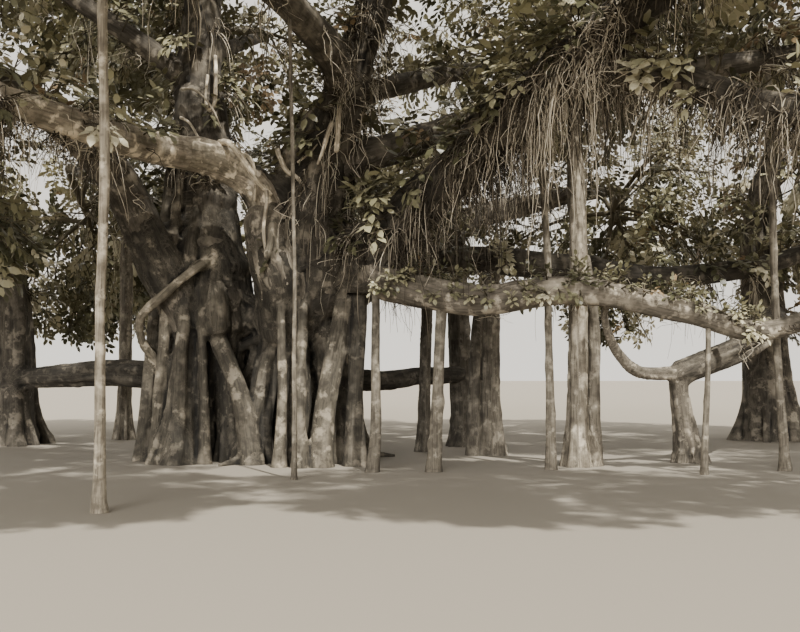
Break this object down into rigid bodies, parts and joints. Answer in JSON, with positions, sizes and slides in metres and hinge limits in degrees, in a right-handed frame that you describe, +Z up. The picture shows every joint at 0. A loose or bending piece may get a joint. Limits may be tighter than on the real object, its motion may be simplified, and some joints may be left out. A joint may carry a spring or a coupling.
{
  "type": "banyan tree",
  "caption": "Broad banyan: trunk fused from roots, wide boughs on prop roots, curtains of hanging roots, evergreen crown.",
  "frame": {"origin": "middle of the trunk's flat foot at ground level", "axes": "+Z up; +Y away from the tree's front, as the picture shows it; +X to the right"},
  "size_m": [29.3526, 26.6044, 14.2614],
  "materials": {
    "bark": "rough matte bark",
    "root_bark": "pale matte root bark",
    "foliage": "satin leaf"
  },
  "bodies": {
    "root": {"back_bough": "bark", "back_left_bough": "bark", "back_right_bough": "bark", "bend_root": "root_bark", "centre_bough": "bark", "centre_stem": "bark", "foliage_back": "foliage", "foliage_back_left": "foliage", "foliage_back_right": "foliage", "foliage_centre": "foliage", "foliage_front": "foliage", "foliage_left": "foliage", "foliage_left_front": "foliage", "foliage_left_hanging": "foliage", "foliage_left_outer": "foliage", "foliage_right": "foliage", "foliage_right_back": "foliage", "foliage_right_front": "foliage", "foliage_right_low": "foliage", "foliage_right_outer": "foliage", "foliage_right_side": "foliage", "foliage_top": "foliage", "foliage_upper_back": "foliage", "foliage_upper_front": "foliage", "foliage_upper_left": "foliage", "foliage_upper_right": "foliage", "front_bough": "bark", "left_bough": "bark", "left_front_bough": "bark", "left_leader": "bark", "left_low_bough": "bark", "left_outer_trunk": "bark", "low_beam": "bark", "prop_root_back_left": "root_bark", "prop_root_bright": "root_bark", "prop_root_front_left": "root_bark", "prop_root_front_slim": "root_bark", "prop_root_leaning": "root_bark", "prop_root_low_left": "root_bark", "prop_root_mid_back": "root_bark", "prop_root_near_trunk": "root_bark", "prop_root_right_edge": "root_bark", "prop_root_slim_right": "root_bark", "prop_root_thick_back": "root_bark", "prop_root_thick_right": "root_bark", "right_back_bough": "bark", "right_bough": "bark", "right_curved_bough": "bark", "right_front_bough": "bark", "right_front_side_bough": "bark", "right_low_bough": "bark", "right_outer_trunk": "bark", "root_curtain_centre": "root_bark", "root_curtain_left": "root_bark", "root_curtain_outer": "root_bark", "root_curtain_right": "root_bark", "trunk": "bark", "upper_back_bough": "bark", "upper_left_bough": "bark", "upper_right_bough": "bark"}
  },
  "joints": []
}
